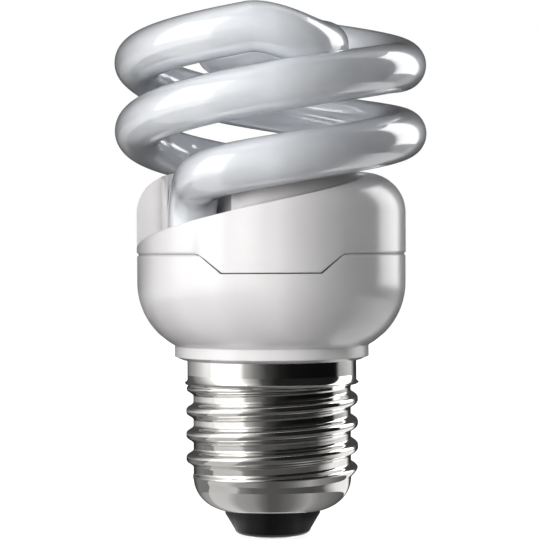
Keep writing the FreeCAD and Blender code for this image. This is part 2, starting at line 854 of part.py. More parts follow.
def centre_contact():
    body = new_body("centre_contact")
    face, outer = size("contact_face_radius"), size("contact_radius")
    edge, thickness = size("contact_edge"), size("contact_thickness")
    slant = math.sqrt(0.5)
    revolve(body, "disc", [
        (0, 0), (face, 0), bend(face + (outer - face) * slant, edge - edge * slant), (outer, edge),
        (outer, thickness), (0, thickness),
    ])
    return body


def circuit_board():
    body = new_body("circuit_board")
    radius = board_radius
    sketch = new_sketch(body, "board_outline", "XY_Plane", board_bottom)
    draw_circle(sketch, 0, 0, radius)
    board = body.newObject("PartDesign::Pad", "board")
    board.Profile = sketch
    bind(board, "Length", size("board_thickness"))
    notch_sketch = new_sketch(body, "notch_outline", "XY_Plane", board_bottom)
    for x, y in ((radius, 0), (-radius, 0)):
        draw_circle(notch_sketch, x, y, size("board_notch_radius"))
    notches = body.newObject("PartDesign::Pocket", "notches")
    notches.Profile = notch_sketch
    bind(notches, "Length", size("board_thickness"))
    notches.Reversed = True
    return body


def electrolytic_capacitor():
    body = new_body("electrolytic_capacitor")
    radius, top = size("can_radius"), board_bottom
    low = top - size("can_length")
    edge = size("can_round")
    corner = edge * (1 - math.sqrt(0.5))
    bead, depth = top - size("can_bead_offset"), size("can_bead_depth")
    revolve(body, "can", [
        (0, low), (radius - edge, low), bend(radius - corner, low + corner), (radius, low + edge),
        (radius, bead - depth * 2), bend(radius - depth, bead - depth), (radius, bead), (radius, top), (0, top),
    ])
    return body


# Choke: two E-shaped core halves meet on a bobbin whose axis stands upright


def choke_parts():
    x = -size("choke_distance")
    thickness, width, height = size("choke_thickness"), size("choke_width"), size("choke_height")
    back, limb, centre = size("choke_back"), size("choke_limb"), size("choke_centre_limb")
    top = board_bottom
    middle = top - height / 2
    half = width / 2
    left = x - thickness / 2
    halves = []
    for name, near, far in (("upper", middle, top), ("lower", middle, top - height)):
        plate = back if name == "upper" else -back
        body = new_body(f"choke_core_{name}")
        sketch = new_sketch(body, "core_outline", "YZ_Plane")
        draw_outline(sketch, [
            (-half, near), (-half + limb, near), (-half + limb, far - plate), (-centre / 2, far - plate),
            (-centre / 2, near), (centre / 2, near), (centre / 2, far - plate), (half - limb, far - plate),
            (half - limb, near), (half, near), (half, far), (-half, far),
        ])
        feature = body.newObject("PartDesign::Pad", "core")
        feature.Profile = sketch
        bind(feature, "Length", thickness)
        bind(sketch, "AttachmentOffset.Base.z", left)
        halves.append(body)

    clear, wall = size("bobbin_clearance"), size("bobbin_wall")
    hole_x, hole_y = thickness / 2 + clear, centre / 2 + clear
    reach_x = size("bobbin_reach")
    reach_y = half - limb - clear
    flange = size("bobbin_flange")
    low, high = top - height + back + clear, top - back - clear
    bobbin = new_body("choke_bobbin")

    def ring(body, name, inner_x, inner_y, outer_x, outer_y, bottom, tall):
        sketch = new_sketch(body, f"{name}_outline", "XY_Plane", bottom)
        draw_outline(sketch, rectangle(x - outer_x, -outer_y, x + outer_x, outer_y))
        draw_outline(sketch, rectangle(x - inner_x, -inner_y, x + inner_x, inner_y))
        feature = body.newObject("PartDesign::Pad", name)
        feature.Profile = sketch
        bind(feature, "Length", tall)

    ring(bobbin, "tube", hole_x, hole_y, hole_x + wall, hole_y + wall, low, high - low)
    ring(bobbin, "low_flange", hole_x, hole_y, reach_x, reach_y, low, flange)
    ring(bobbin, "high_flange", hole_x, hole_y, reach_x, reach_y, high - flange, flange)
    winding = new_body("choke_winding")
    gap, depth = size("winding_gap"), size("winding_depth")
    start_x, start_y = hole_x + wall + gap, hole_y + wall + gap
    ring(winding, "turns", start_x, start_y, start_x + depth, start_y + depth,
         low + flange + gap, high - low - flange * 2 - gap * 2)
    return halves + [bobbin, winding]


RING_WINDINGS = ((20.0, 4), (140.0, 4), (260.0, 7))  # middle bearing and turns of each winding
RING_TURN_STEP = 13.0


def ring_transformer():
    x, y = spot_at(size("ring_distance"), size("ring_bearing"))
    top = board_bottom - size("ring_drop")
    low = top - size("ring_height")
    outer, inner = size("ring_outer_radius"), size("ring_inner_radius")
    core = cut("ring_transformer_core",
               cylinder("ring_blank", outer, size("ring_height"), (x, y, low)),
               cylinder("ring_bore", inner, size("ring_height"), (x, y, low)))
    wire, gap = size("ring_wire_radius").number, size("ring_wire_gap").number
    reach = wire + gap
    centre = Vector(x.number, y.number, 0)
    turns = []
    for middle, count in RING_WINDINGS:
        for index in range(count):
            bearing = middle + (index - (count - 1) / 2) * RING_TURN_STEP
            outward = at(1.0, bearing)
            section = [
                (inner.number - reach, low.number - reach), (outer.number + reach, low.number - reach),
                (outer.number + reach, top.number + reach), (inner.number - reach, top.number + reach),
            ]
            corners = [centre + outward * radius + Vector(0, 0, height) for radius, height in section]
            start = (corners[0] + corners[3]) * 0.5
            route = [start] + corners + [start]
            turns.append(pipe(rounded_route(route, SIZES["ring_wire_bend"]), wire))
    windings = shape_of("ring_transformer_windings", Part.makeCompound(turns))
    return [core, windings]


# Move a body to its place on the board and turn it there
def place(body, x, y, bearing=None):
    if bearing is not None:
        body.Placement = Placement(Vector(), Rotation(Vector(0, 0, 1), bearing.number))
        bind(body, "Placement.Rotation.Angle", bearing)
    bind(body, "Placement.Base.x", x)
    bind(body, "Placement.Base.y", y)


def transistor(number):
    radius, flat_side = size("transistor_radius"), size("transistor_flat")
    lead, pitch = size("transistor_lead_width"), size("transistor_lead_spacing")
    tall, high = size("transistor_height"), size("transistor_lead_length")
    body = new_body(f"power_transistor_{number}")
    half = square_root(radius * radius - flat_side * flat_side)
    top = board_bottom - high
    pad(body, "case", [
        (-half, -flat_side), (half, -flat_side), bend(0, radius),
    ], top - tall, tall)
    for name, middle in (("left", -pitch), ("centre", as_size(0)), ("right", pitch)):
        pad(body, f"{name}_lead", rectangle(middle - lead / 2, -lead / 2, middle + lead / 2, lead / 2), top, high)
    spot = f"transistor_{number}"
    place(body, size(f"{spot}_x"), size(f"{spot}_y"), size(f"{spot}_turn"))
    return body


def film_capacitor(label):
    body = new_body(label)
    length, thickness, tall = size("film_length"), size("film_thickness"), size("film_height")
    lead_length, lead = size("film_lead_length"), size("axial_lead_radius")
    top = board_bottom - lead_length
    half, side, edge = length / 2, thickness / 2, size("film_round")
    corner = edge * (1 - math.sqrt(0.5))
    pad(body, "case", [
        (-side + edge, -half), (side - edge, -half), bend(side - corner, -half + corner), (side, -half + edge),
        (side, half - edge), bend(side - corner, half - corner), (side - edge, half),
        (-side + edge, half), bend(-side + corner, half - corner), (-side, half - edge),
        (-side, -half + edge), bend(-side + corner, -half + corner),
    ], top - tall, tall)
    for name, y in (("near_lead", -size("film_lead_spacing") / 2), ("far_lead", size("film_lead_spacing") / 2)):
        pad(body, name, rectangle(-lead, y - lead, lead, y + lead), top, lead_length)
    bearing = size(f"{label}_bearing")
    place(body, *spot_at(size(f"{label}_distance"), bearing), bearing)
    return body


def input_inductor():
    top = board_bottom
    low = top - size("drum_height")
    radius, waist, flange = size("drum_radius"), size("drum_waist_radius"), size("drum_flange")
    core = new_body("input_inductor_core")
    revolve(core, "drum", [
        (0, low), (radius, low), (radius, low + flange), (waist, low + flange), (waist, top - flange),
        (radius, top - flange), (radius, top), (0, top),
    ])
    gap = size("drum_winding_gap")
    winding = new_body("input_inductor_winding")
    revolve(winding, "turns", [
        (waist + gap, low + flange + gap), (radius, low + flange + gap), (radius, top - flange - gap),
        (waist + gap, top - flange - gap),
    ])
    for body in (core, winding):
        place(body, size("input_inductor_x"), size("input_inductor_y"))
    return [core, winding]


# Axial part that lies along X with its leads bent to the board, below it or above it


def axial_part(kind, number, above=False):
    name = f"{kind}_{number}"
    radius, length, span = size(f"{kind}_radius"), size(f"{kind}_length"), size(f"{kind}_span")
    x, y = size(f"{name}_x"), size(f"{name}_y")
    rise = size("axial_stand_off") + radius
    foot, middle = (board_top, board_top + rise) if above else (board_bottom, board_bottom - rise)
    case = cylinder(f"{name}_case", radius, length, (x - length / 2, y, middle), Vector(1, 0, 0))
    left, right = (x - span / 2).number, (x + span / 2).number
    along, low, high = y.number, foot.number, middle.number
    route = [Vector(left, along, low), Vector(left, along, high), Vector(right, along, high),
             Vector(right, along, low)]
    wire = pipe(rounded_route(route, SIZES["axial_lead_bend"]), SIZES["axial_lead_radius"])
    return join(name, [case, shape_of(f"{name}_lead", wire)])


def fusible_resistor():
    x, low = size("fuse_distance"), fuse_bottom
    lead, length = size("axial_lead_radius"), size("fuse_length")
    return join("fusible_resistor", [
        cylinder("fuse_body", size("fuse_radius"), length, (x, 0, low)),
        cylinder("fuse_wire", lead, board_bottom - low, (x, 0, low)),
    ])


def shell_lead_wire():
    x, y = SIZES["shell_wire_x"], SIZES["shell_wire_y"]
    turn = SIZES["cap_top"] - SIZES["shell_wire_drop"]
    low = turn - SIZES["shell_wire_fall"]
    wall = thread_radius(math.atan2(-thread_root.number, x), low) - SIZES["cap_wall"]
    end = Vector(x, -(wall - SIZES["shell_wire_gap"]), low)
    route = [Vector(x, y, board_bottom.number), Vector(x, y, turn), end]
    return shape_of("shell_lead_wire", pipe(rounded_route(route, SIZES["wire_bend"]), SIZES["wire_radius"]))


def contact_lead_wire():
    reach, top = SIZES["fuse_distance"], fuse_bottom.number
    route = [
        Vector(0, 0, SIZES["contact_thickness"]), Vector(0, 0, SIZES["contact_wire_low"]),
        Vector(reach, 0, top - SIZES["contact_wire_rise"]), Vector(reach, 0, top),
    ]
    return shape_of("contact_lead_wire", pipe(rounded_route(route, SIZES["wire_bend"]), SIZES["wire_radius"]))


def filament_leads():
    wires = []
    pins = []
    low, spacing = filament_wire_height.number, size("filament_wire_spacing")
    side = size("pin_side")
    for name, turned in (("front", 0.0), ("back", 180.0)):
        bearing = size("leg_bearing") + turned
        for word, offset in (("first", -spacing / 2), ("second", spacing / 2)):
            x, y = spot_at(size("leg_radius"), bearing, offset)
            pin_x, pin_y = spot_at(size("leg_radius") - size("pin_distance"), bearing, offset)
            corner = Vector(x.number, y.number, low)
            pin = Vector(pin_x.number, pin_y.number, low)
            reach = pin - corner
            short = side.number / 2 + SIZES["pin_wire_gap"]
            stop = corner + reach * (1 - short / reach.Length)
            route = [Vector(x.number, y.number, leg_end.number), corner, stop]
            wires.append(pipe(rounded_route(route, SIZES["filament_wire_bend"]), SIZES["filament_wire_radius"]))
            spot = (pin_x - side / 2, pin_y - side / 2, board_top)
            pins.append(box(f"{name}_{word}_pin", side, side, size("pin_height"), spot))
    return [shape_of("filament_lead_wires", Part.makeCompound(wires)), group("wire_wrap_pins", pins)]


# A disc of cement fills the cover's cavity round the legs and the pockets' walls
def tube_cement(cover):
    gap, low, thickness = size("cement_gap"), low_ceiling + size("cement_lift"), size("cement_thickness")
    radius = size("ramp_radius") - size("cover_wall") - gap
    disc = cylinder("cement_disc", radius, thickness, (0, 0, low))
    bores = []
    for name, turned in (("front", 0.0), ("back", 180.0)):
        x, y = spot_at(size("leg_radius"), size("leg_bearing") + turned)
        bores.append(cylinder(f"{name}_leg_bore", tube_radius + gap, thickness, (x, y, low)))
    return cut("tube_cement", cut("cement_with_bores", disc, join("leg_bores", bores)), cover)


RESISTORS_ON_TOP = (3, 4)


def board_parts():
    items = [circuit_board(), electrolytic_capacitor()] + choke_parts() + ring_transformer()
    items += [transistor(1), transistor(2)]
    items += [film_capacitor("blocking_capacitor"), film_capacitor("resonant_capacitor")]
    items += input_inductor()
    diodes = [axial_part("diode", number) for number in (1, 2, 3, 4)]
    resistors = [axial_part("resistor", number, number in RESISTORS_ON_TOP) for number in (1, 2, 3, 4)]
    diac = axial_part("diac", 1, True)
    diac.Label = "trigger_diac"
    return items + [group("rectifier_diodes", diodes), group("resistors", resistors), diac]


def build():
    cover = upper_cover()
    pieces = [discharge_tube(), cover, lower_housing(), cap_shell(), cap_insulator(), centre_contact()]
    pieces += board_parts()
    pieces += [fusible_resistor(), shell_lead_wire(), contact_lead_wire()] + filament_leads()
    pieces.append(tube_cement(cover))
    return pieces


def check_and_export(pieces):
    doc.recompute()
    faults = [item.Label for item in doc.Objects if "Invalid" in item.State or "Error" in item.State]
    for piece in pieces:
        if piece.Shape.isNull() or not piece.Shape.isValid() or not piece.Shape.Solids:
            faults.append(piece.Label)
    if faults:
        raise SystemExit(f"not sound: {faults}")
    os.makedirs("parts", exist_ok=True)
    for piece in pieces:
        piece.Shape.exportStep(f"parts/{piece.Label}.step")
        print(f"{piece.Label}: {len(piece.Shape.Solids)} solid(s), {piece.Shape.Volume:.1f} mm3")


check_and_export(build())
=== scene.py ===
import json
import math

import bmesh
import bpy
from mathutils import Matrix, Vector


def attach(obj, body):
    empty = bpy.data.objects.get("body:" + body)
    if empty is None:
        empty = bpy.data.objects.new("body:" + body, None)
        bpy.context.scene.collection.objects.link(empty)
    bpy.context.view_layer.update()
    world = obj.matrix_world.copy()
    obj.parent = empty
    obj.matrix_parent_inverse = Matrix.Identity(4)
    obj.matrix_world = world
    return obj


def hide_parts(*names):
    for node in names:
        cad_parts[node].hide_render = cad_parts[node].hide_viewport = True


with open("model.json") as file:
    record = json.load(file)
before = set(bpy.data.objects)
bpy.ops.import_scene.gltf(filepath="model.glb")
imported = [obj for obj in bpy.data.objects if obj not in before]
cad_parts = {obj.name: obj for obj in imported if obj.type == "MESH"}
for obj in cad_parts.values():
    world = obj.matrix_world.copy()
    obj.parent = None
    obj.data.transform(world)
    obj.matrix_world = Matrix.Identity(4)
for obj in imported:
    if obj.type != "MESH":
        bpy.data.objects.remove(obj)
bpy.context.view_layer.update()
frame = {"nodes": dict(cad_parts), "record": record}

mm = 0.001
nodes = frame["nodes"]
slotOf = {part["node"]: part["material_slot"] for part in frame["record"]["subparts"]}


# Small helpers for trees and meshes


def addNode(tree, kind, inputs=None, **settings):
    node = tree.nodes.new(kind)
    for key, value in settings.items():
        setattr(node, key, value)
    for key, value in (inputs or {}).items():
        socket = node.inputs[key]
        if isinstance(value, bpy.types.NodeSocket):
            tree.links.new(value, socket)
        else:
            socket.default_value = value
    return node


def calc(tree, operation, first, second=0.0):
    return addNode(tree, "ShaderNodeMath", {0: first, 1: second}, operation=operation).outputs[0]


def onCircle(radius, bearing, height=0.0):
    turn = math.radians(bearing)
    return Vector((radius * math.cos(turn), radius * math.sin(turn), height))


def meshObject(name, mesh):
    piece = bpy.data.objects.new(name, mesh)
    bpy.context.scene.collection.objects.link(piece)
    return piece


def smoothByAngle(mesh, angle):
    mesh.shade_smooth()
    mesh.set_sharp_from_angle(angle=math.radians(angle))


# Camera: level with the seam
camera = {
    "distance": 275.0,  # mm from the lamp's axis
    "height": 43.3,  # mm
    "lens": 119.1,
    "sensor": 36.0,
    "roll": 0.3,
    "shiftX": -0.0024,
    "shiftY": -0.0296,
    "clip": (0.01, 20.0),  # m
}


def makeCamera():
    data = bpy.data.cameras.new("camera")
    data.lens = camera["lens"]
    data.sensor_width = camera["sensor"]
    data.shift_x = camera["shiftX"]
    data.shift_y = camera["shiftY"]
    data.clip_start, data.clip_end = camera["clip"]
    item = bpy.data.objects.new("camera", data)
    item.location = (0, -camera["distance"] * mm, camera["height"] * mm)
    item.rotation_euler = (math.radians(90), math.radians(camera["roll"]), 0)
    bpy.context.scene.collection.objects.link(item)
    bpy.context.scene.camera = item


makeCamera()
bpy.context.scene.view_settings.view_transform = "Standard"
print("camera ready")


# Materials: patterns are noise on Object coordinates, given as (waves per metre, detail)
shadeSamples = 6


def newMaterial(name):
    material = bpy.data.materials.new(name)
    material.use_nodes = True
    tree = material.node_tree
    tree.nodes.clear()
    output = addNode(tree, "ShaderNodeOutputMaterial")
    shader = addNode(tree, "ShaderNodeBsdfPrincipled")
    tree.links.new(shader.outputs[0], output.inputs["Surface"])
    place = addNode(tree, "ShaderNodeTexCoord").outputs["Object"]
    return material, tree, shader, place


def noise(tree, place, scale, detail):
    sizes = {"Vector": place, "Scale": scale, "Detail": detail}
    return addNode(tree, "ShaderNodeTexNoise", sizes).outputs["Fac"]


def ramp(tree, value, span, ends=(0.0, 1.0)):
    return addNode(tree, "ShaderNodeMapRange", {
        "Value": value, "From Min": span[0], "From Max": span[1],
        "To Min": ends[0], "To Max": ends[1]}).outputs["Result"]


def blend(tree, share, first, second):
    colours = {"Factor": share, 6: first, 7: second}  # 6 and 7 are the node's two colours
    return addNode(tree, "ShaderNodeMix", colours, data_type="RGBA").outputs[2]


def twoTone(tree, pattern, span, first, second):
    return blend(tree, ramp(tree, pattern, span), (*first, 1.0), (*second, 1.0))


# Painted shade: colour that turns dark in narrow gaps and creases, where shade falls
def paintCreaseShade(tree, colour, reach, span, shadeColour):
    openness = addNode(tree, "ShaderNodeAmbientOcclusion", {"Distance": reach * mm},
                       samples=shadeSamples)
    return blend(tree, ramp(tree, openness.outputs["AO"], span), (*shadeColour, 1.0), colour)


def addBump(tree, shader, height, strength, depth, edge=0.0):
    bump = addNode(tree, "ShaderNodeBump", {
        "Height": height, "Strength": strength, "Distance": depth * mm})
    if edge:
        rounded = addNode(tree, "ShaderNodeBevel", {"Radius": edge * mm}, samples=shadeSamples)
        tree.links.new(rounded.outputs[0], bump.inputs["Normal"])
    tree.links.new(bump.outputs[0], shader.inputs["Normal"])


def addCoat(shader, finish):
    shader.inputs["Coat Weight"].default_value = 1.0
    shader.inputs["Coat Roughness"].default_value = finish["coatRoughness"]
    shader.inputs["Coat IOR"].default_value = finish["coatIor"]


tubeGlass = {
    "bright": (0.79, 0.815, 0.855),
    "dull": (0.75, 0.775, 0.815),
    "powder": (260.0, 5.0),  # the phosphor's uneven coat
    "powderSpan": (0.35, 0.65),
    "roughness": 0.3,
    "coatRoughness": 0.03,
    "coatIor": 2.6,
    "rimSpan": (0.6, 0.95),  # clear glass mirrors where it is seen edge on
    "rimMirror": (0.0, 0.75),
    "waves": (90.0, 1.0),
    "waviness": 0.25,
    "waveDepth": 0.05,  # mm
}


def makeTubeGlass():
    material, tree, shader, place = newMaterial("tubeGlass")
    powder = noise(tree, place, *tubeGlass["powder"])
    tree.links.new(twoTone(tree, powder, tubeGlass["powderSpan"], tubeGlass["bright"],
                           tubeGlass["dull"]), shader.inputs["Base Color"])
    facing = addNode(tree, "ShaderNodeLayerWeight").outputs["Facing"]
    tree.links.new(ramp(tree, facing, tubeGlass["rimSpan"], tubeGlass["rimMirror"]),
                   shader.inputs["Metallic"])
    shader.inputs["Roughness"].default_value = tubeGlass["roughness"]
    addCoat(shader, tubeGlass)
    waves = noise(tree, place, *tubeGlass["waves"])
    addBump(tree, shader, waves, tubeGlass["waviness"], tubeGlass["waveDepth"])
    return material


whitePlastic = {
    "light": (0.84, 0.825, 0.83),
    "shade": (0.80, 0.785, 0.79),
    "clouds": (120.0, 4.0),
    "cloudSpan": (0.35, 0.7),
    "roughness": (0.40, 0.5),
    "spots": (700.0, 3.0),
    "spotSpan": (0.3, 0.7),
    "coatRoughness": 0.2,
    "coatIor": 1.95,
    "grain": (5200.0, 2.0),
    "graininess": 0.12,
    "grainDepth": 0.02,  # mm
    "edge": 0.35,  # mm, the mould's soft edges
    # painted shade in creases and narrow gaps: its colour, how far the darkening looks, and its
    # span of openness
    "creaseShade": (0.07, 0.07, 0.075),
    "creaseShadeReach": 2.5,  # mm
    "creaseShadeSpan": (0.1, 0.75),
}


def makeWhitePlastic():
    material, tree, shader, place = newMaterial("whitePlastic")
    clouds = noise(tree, place, *whitePlastic["clouds"])
    colour = twoTone(tree, clouds, whitePlastic["cloudSpan"], whitePlastic["light"],
                     whitePlastic["shade"])
    # The base colour carries painted shade in creases and gaps
    tree.links.new(paintCreaseShade(tree, colour, whitePlastic["creaseShadeReach"],
                                 whitePlastic["creaseShadeSpan"], whitePlastic["creaseShade"]),
                   shader.inputs["Base Color"])
    spots = noise(tree, place, *whitePlastic["spots"])
    tree.links.new(ramp(tree, spots, whitePlastic["spotSpan"], whitePlastic["roughness"]),
                   shader.inputs["Roughness"])
    addCoat(shader, whitePlastic)
    grain = noise(tree, place, *whitePlastic["grain"])
    addBump(tree, shader, grain, whitePlastic["graininess"], whitePlastic["grainDepth"],
            whitePlastic["edge"])
    return material


capMetal = {
    "clean": (0.80, 0.79, 0.77),
    "worn": (0.70, 0.69, 0.67),
    "smudges": (160.0, 4.0),
    "smudgeSpan": (0.4, 0.75),
    "roughness": (0.05, 0.12),
    "roughSpan": (0.3, 0.8),
    "lines": (2.2, 5.0),  # fine lines left by the rolling tool, waves per radian round the cap
    "lineStretch": 1800.0,  # radians that a metre of height counts as
    "scratches": 0.10,
    "scratchDepth": 0.01,  # mm
}


def makeCapMetal():
    material, tree, shader, place = newMaterial("capMetal")
    axes = addNode(tree, "ShaderNodeSeparateXYZ", {0: place}).outputs
    turn = calc(tree, "ARCTAN2", axes["Y"], axes["X"])
    level = calc(tree, "MULTIPLY", axes["Z"], capMetal["lineStretch"])
    unrolled = addNode(tree, "ShaderNodeCombineXYZ", {"X": turn, "Y": level}).outputs[0]
    lines = noise(tree, unrolled, *capMetal["lines"])
    smudges = noise(tree, place, *capMetal["smudges"])
    tree.links.new(twoTone(tree, smudges, capMetal["smudgeSpan"], capMetal["clean"],
                           capMetal["worn"]), shader.inputs["Base Color"])
    tree.links.new(ramp(tree, smudges, capMetal["roughSpan"], capMetal["roughness"]),
                   shader.inputs["Roughness"])
    shader.inputs["Metallic"].default_value = 1.0
    addBump(tree, shader, lines, capMetal["scratches"], capMetal["scratchDepth"])
    return material


blackGlass = {
    "body": (0.005, 0.005, 0.005),
    "bubble": (0.012, 0.012, 0.013),
    "flow": (220.0, 4.0),
    "flowSpan": (0.4, 0.8),
    "roughness": (0.08, 0.2),
    "roughSpan": (0.3, 0.8),
    "ior": 1.4,
    "ripples": (420.0, 2.0),
    "rippling": 0.2,
    "rippleDepth": 0.05,  # mm
}


def makeBlackGlass():
    material, tree, shader, place = newMaterial("blackGlass")
    flow = noise(tree, place, *blackGlass["flow"])
    tree.links.new(twoTone(tree, flow, blackGlass["flowSpan"], blackGlass["body"],
                           blackGlass["bubble"]), shader.inputs["Base Color"])
    tree.links.new(ramp(tree, flow, blackGlass["roughSpan"], blackGlass["roughness"]),
                   shader.inputs["Roughness"])
    shader.inputs["IOR"].default_value = blackGlass["ior"]
    ripples = noise(tree, place, *blackGlass["ripples"])
    addBump(tree, shader, ripples, blackGlass["rippling"], blackGlass["rippleDepth"])
    return material


# Plainer finishes: two colours, roughness, metal share, pattern's waves per metre and relief
finishes = {
    "contact_metal": ((0.66, 0.65, 0.62), (0.45, 0.44, 0.42), 0.28, 1.0, 900.0, 0.25),
    "board": ((0.55, 0.42, 0.20), (0.47, 0.35, 0.16), 0.55, 0.0, 600.0, 0.3),
    "can_sleeve": ((0.02, 0.02, 0.025), (0.035, 0.035, 0.04), 0.3, 0.0, 300.0, 0.1),
    "ferrite": ((0.06, 0.06, 0.065), (0.10, 0.10, 0.105), 0.6, 0.2, 1500.0, 0.4),
    "bobbin_plastic": ((0.05, 0.05, 0.05), (0.07, 0.07, 0.07), 0.45, 0.0, 800.0, 0.2),
    "copper_wire": ((0.62, 0.26, 0.10), (0.48, 0.18, 0.06), 0.28, 1.0, 2400.0, 0.5),
    "black_resin": ((0.03, 0.03, 0.03), (0.05, 0.05, 0.05), 0.5, 0.0, 1800.0, 0.3),
    "film_dip": ((0.33, 0.06, 0.03), (0.26, 0.045, 0.025), 0.25, 0.0, 300.0, 0.3),
    "resistor_coat": ((0.62, 0.47, 0.28), (0.54, 0.40, 0.23), 0.4, 0.0, 900.0, 0.2),
    "diac_glass": ((0.55, 0.16, 0.05), (0.40, 0.11, 0.04), 0.1, 0.0, 700.0, 0.1),
    "tinned_wire": ((0.72, 0.72, 0.71), (0.60, 0.60, 0.59), 0.25, 1.0, 2000.0, 0.2),
    "cement": ((0.80, 0.77, 0.70), (0.70, 0.67, 0.60), 0.85, 0.0, 1100.0, 0.6),
}
plainFinish = {
    "detail": 4.0,
    "colourSpan": (0.35, 0.7),
    "roughSpan": (0.3, 0.7),
    "roughSpread": 0.15,  # share of the roughness, up and down
    "reliefDepth": 0.03,  # mm
}


def makeFinish(name):
    first, second, roughness, metal, scale, relief = finishes[name]
    material, tree, shader, place = newMaterial(name)
    pattern = noise(tree, place, scale, plainFinish["detail"])
    tree.links.new(twoTone(tree, pattern, plainFinish["colourSpan"], first, second),
                   shader.inputs["Base Color"])
    spread = roughness * plainFinish["roughSpread"]
    limits = (roughness - spread, roughness + spread)
    tree.links.new(ramp(tree, pattern, plainFinish["roughSpan"], limits),
                   shader.inputs["Roughness"])
    shader.inputs["Metallic"].default_value = metal
    addBump(tree, shader, pattern, relief, plainFinish["reliefDepth"])
    return material


materials = {
    "phosphor_glass": makeTubeGlass(),
    "white_plastic": makeWhitePlastic(),
    "cap_metal": makeCapMetal(),
    "black_glass": makeBlackGlass(),
}
for finishName in finishes:
    materials[finishName] = makeFinish(finishName)
for nodeName, item in nodes.items():
    item.data.materials.clear()
    item.data.materials.append(materials[slotOf[nodeName]])
print("materials ready")


def finishPiece(piece, nodeName):
    piece.data.materials.clear()
    piece.data.materials.append(materials[slotOf[nodeName]])
    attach(piece, "root")
    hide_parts(nodeName)


def newTree(name, sizes):
    tree = bpy.data.node_groups.new(name, "GeometryNodeTree")
    tree.is_modifier = True
    tree.interface.new_socket("Geometry", in_out="INPUT", socket_type="NodeSocketGeometry")
    tree.interface.new_socket("Geometry", in_out="OUTPUT", socket_type="NodeSocketGeometry")
    for title, kind in sizes.items():
        tree.interface.new_socket(title, in_out="INPUT", socket_type=kind)
    return tree, addNode(tree, "NodeGroupInput").outputs, addNode(tree, "NodeGroupOutput").inputs


# The end of every Geometry Nodes tree
def closeTree(tree, geometry, material, result):
    real = addNode(tree, "GeometryNodeRealizeInstances", {0: geometry})
    dressed = addNode(tree, "GeometryNodeSetMaterial", {
        "Geometry": real.outputs[0], "Material": material})
    tree.links.new(dressed.outputs[0], result["Geometry"])
    return tree


def runTree(piece, tree, values):
    modifier = piece.modifiers.new(tree.name, "NODES")
    modifier.node_group = tree
    for socket in tree.interface.items_tree:
        if socket.in_out == "INPUT" and socket.name in values:
            modifier[socket.identifier] = values[socket.name]
    graph = bpy.context.evaluated_depsgraph_get()
    return bpy.data.meshes.new_from_object(piece.evaluated_get(graph), depsgraph=graph)


# Discharge tube: its path follows the double helix's rule, Geometry Nodes sweep the tube along it
tube = {
    # mm and degrees
    "radius": 3.65,
    "coilRadius": 20.25,
    "lead": 21.1,
    "coilHeight": 61.9,  # centre line at bearing 360
    "coilStart": 258.0,
    "coilEnd": 622.6,
    "bridgeBulge": 9.35,
    "bridgeDip": 2.52,
    "dipShare": 0.4,
    "lean": 4.12,
    "leanStart": 506.0,
    "leanSpan": 34.4,
    "legRadius": 14.4,
    "legBearing": 214.8,
    "legTop": 47.5,
    "legEnd": 41.6,
    "legRows": 12,
    "bendRows": 30,
    "coilRows": 420,
    "bridgeRows": 80,
    "step": 0.35,  # between the rings of the finished mesh
    "sides": 56,
    "smoothAngle": 50,
}


def smoothStep(value):
    value = min(max(value, 0.0), 1.0)
    return value * value * (3 - 2 * value)


# The top turns and the bridge lean: their back is higher than their front
def leanBack(spot, share=1.0):
    spot.z += spot.y * math.tan(math.radians(tube["lean"])) * share
    return spot


def coilHeightAt(bearing):
    return tube["coilHeight"] + (bearing - 360) / 360 * tube["lead"]


def coilPoint(bearing, turned):
    spot = onCircle(tube["coilRadius"], bearing + turned, coilHeightAt(bearing))
    return leanBack(spot, smoothStep((bearing - tube["leanStart"]) / tube["leanSpan"]))


# Half of a circle over the axis that bulges sideways
def bridgePoint(share, turned):
    reach = tube["coilRadius"] / 2
    bearing = tube["coilEnd"] + turned
    turn = math.pi * share
    spot = onCircle(reach * (1 + math.cos(turn)), bearing)
    spot += onCircle(tube["bridgeBulge"] * math.sin(turn), bearing + 90)
    dip = tube["bridgeDip"] * smoothStep(share / tube["dipShare"])
    spot.z = coilHeightAt(tube["coilEnd"]) - dip
    return leanBack(spot)


# Points of the arc that leaves start along heading and ends in finish
def arcPoints(start, heading, finish, count):
    chord = finish - start
    along = chord.dot(heading)
    side = chord - heading * along
    radius = chord.dot(chord) / (2 * side.length)
    inward = side.normalized()
    full = math.atan2(along, radius - side.length)
    points = []
    for step in range(count):
        turn = full * step / count
        points.append(start + inward * (radius * (1 - math.cos(turn)))
                      + heading * (radius * math.sin(turn)))
    return points


# Two arcs that meet without a kink, from the top of the leg to the start of the coil
def legBend(turned):
    start = onCircle(tube["legRadius"], tube["legBearing"] + turned, tube["legTop"])
    leaving = Vector((0, 0, 1))
    finish = coilPoint(tube["coilStart"], turned)
    nudge = 0.05  # degrees, to find the coil's direction there
    arriving = (coilPoint(tube["coilStart"] + nudge, turned)
                - coilPoint(tube["coilStart"] - nudge, turned)).normalized()
    chord = finish - start
    blending = 2 * (1 - leaving.dot(arriving))
    lean = chord.dot(leaving + arriving)
    reach = (math.sqrt(lean * lean + blending * chord.dot(chord)) - lean) / blending
    corner = start + leaving * reach
    middle = (corner + finish - arriving * reach) * 0.5
    rows = tube["bendRows"]
    return (arcPoints(start, leaving, middle, rows)
            + arcPoints(middle, (middle - corner).normalized(), finish, rows))


def armPoints(turned):
    foot = onCircle(tube["legRadius"], tube["legBearing"] + turned, tube["legEnd"])
    top = onCircle(tube["legRadius"], tube["legBearing"] + turned, tube["legTop"])
    points = [foot.lerp(top, row / tube["legRows"]) for row in range(tube["legRows"])]
    points += legBend(turned)
    sweep = tube["coilEnd"] - tube["coilStart"]
    for row in range(tube["coilRows"]):
        points.append(coilPoint(tube["coilStart"] + sweep * row / tube["coilRows"], turned))
    rows = tube["bridgeRows"]
    return points + [bridgePoint(row / rows, turned) for row in range(rows)]


